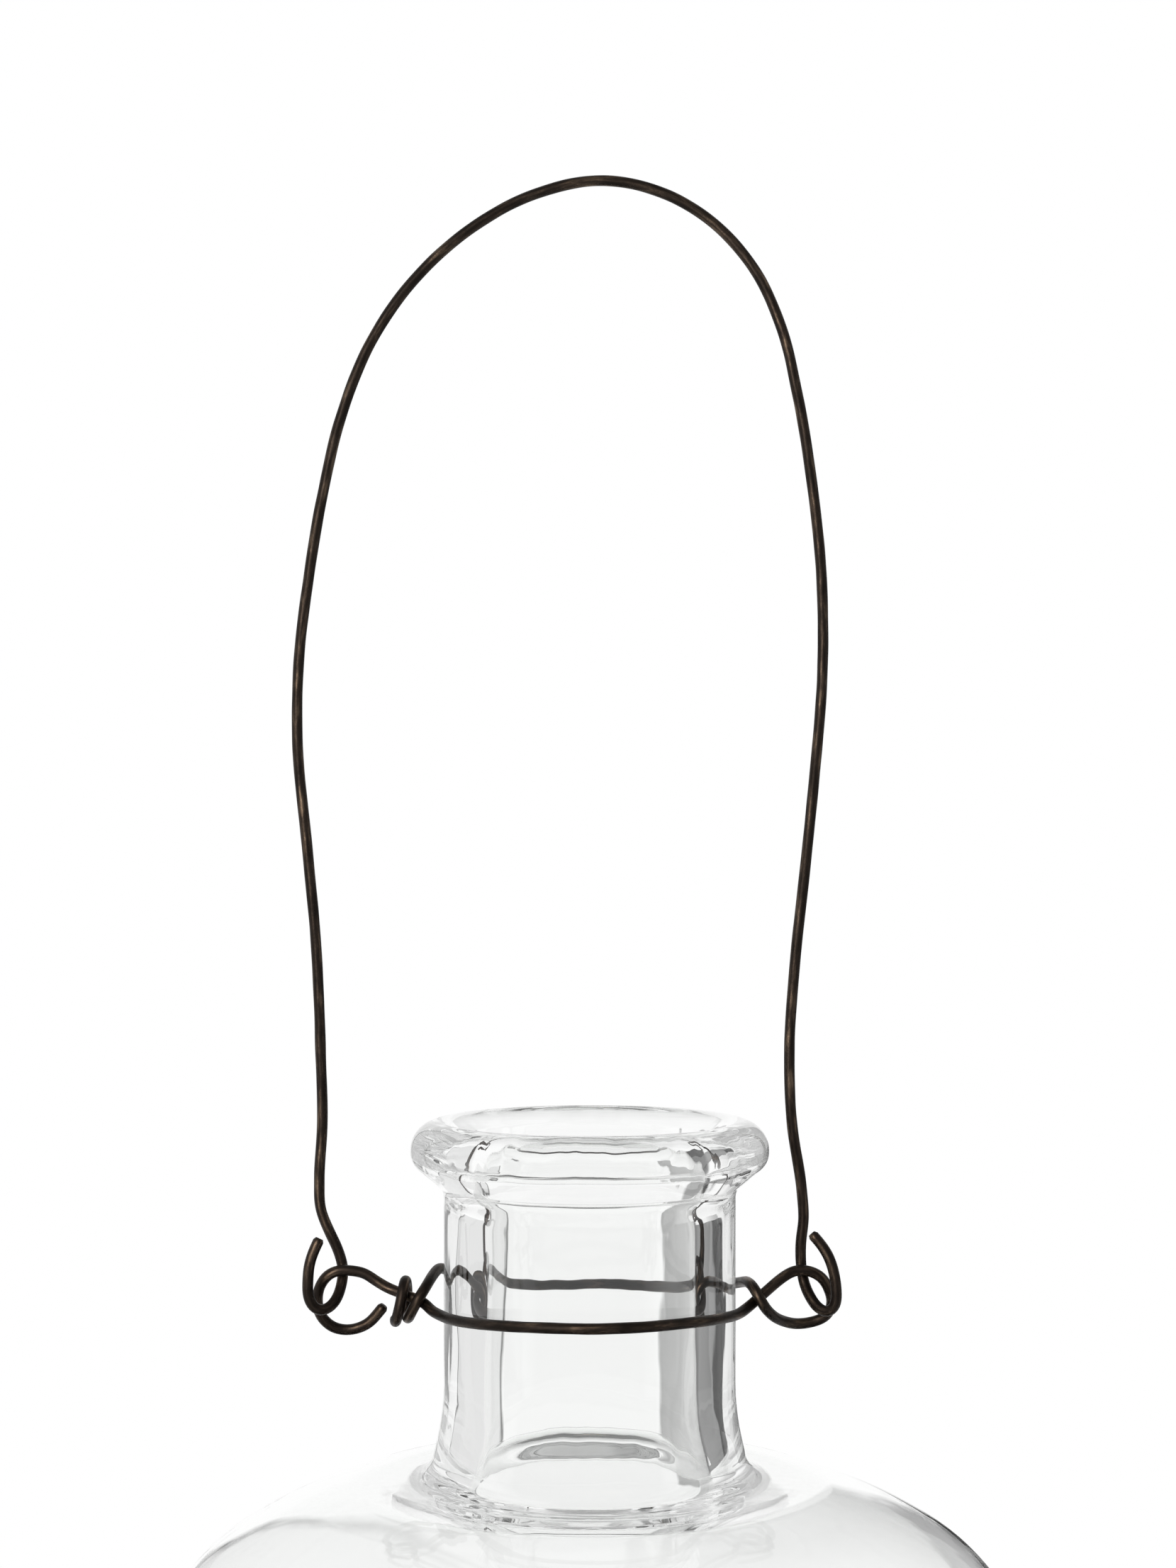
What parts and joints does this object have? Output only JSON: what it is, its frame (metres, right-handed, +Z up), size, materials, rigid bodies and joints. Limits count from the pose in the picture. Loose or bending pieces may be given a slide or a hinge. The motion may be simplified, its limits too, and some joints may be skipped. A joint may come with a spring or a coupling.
{
  "type": "jar lantern",
  "caption": "Clear glass jar lantern with a rolled lip and thick neck, a bent-wire collar with two eyes, a tall hooked wire bail handle and a tea light inside.",
  "frame": {"origin": "on the jar's axis, in the plane that the jar's rest ring stands on", "axes": "+Z up along the jar's axis; the bail arches over the mouth in the XZ plane, its hooks on the collar's eyes at -X and +X; -Y is the front, where the hooks' cut ends show"},
  "size_m": [0.2132, 0.2132, 0.5165],
  "materials": {
    "clear_glass": "clear, thick, slightly wavy",
    "dark_iron": "dark brown-black oiled patina, rubbed brighter on the ridges",
    "wax": "white candle wax",
    "wick": "braided cotton",
    "tin": "thin drawn tin"
  },
  "bodies": {
    "jar": {"glass_jar": "clear_glass"},
    "collar": {"neck_wire": "dark_iron"},
    "bail": {"bail_handle": "dark_iron"},
    "tea_light": {"tea_light_cup": "tin", "tea_light_wax": "wax", "wick": "wick", "wick_tab": "tin"}
  },
  "joints": [
    {"name": "collar_slide", "type": "slide", "parent": "jar", "child": "collar", "axis": [0, 0, 1], "range_m": [0, 0.017]},
    {"name": "bail_swing", "type": "hinge", "parent": "collar", "child": "bail", "pos_m": [0, 0, 0.2539], "axis": [-1, 0, 0], "range_deg": [-20, 125]},
    {"name": "tea_light_lift", "type": "slide", "parent": "jar", "child": "tea_light", "axis": [0, 0, 1], "range_m": [0, 0.3]}
  ]
}
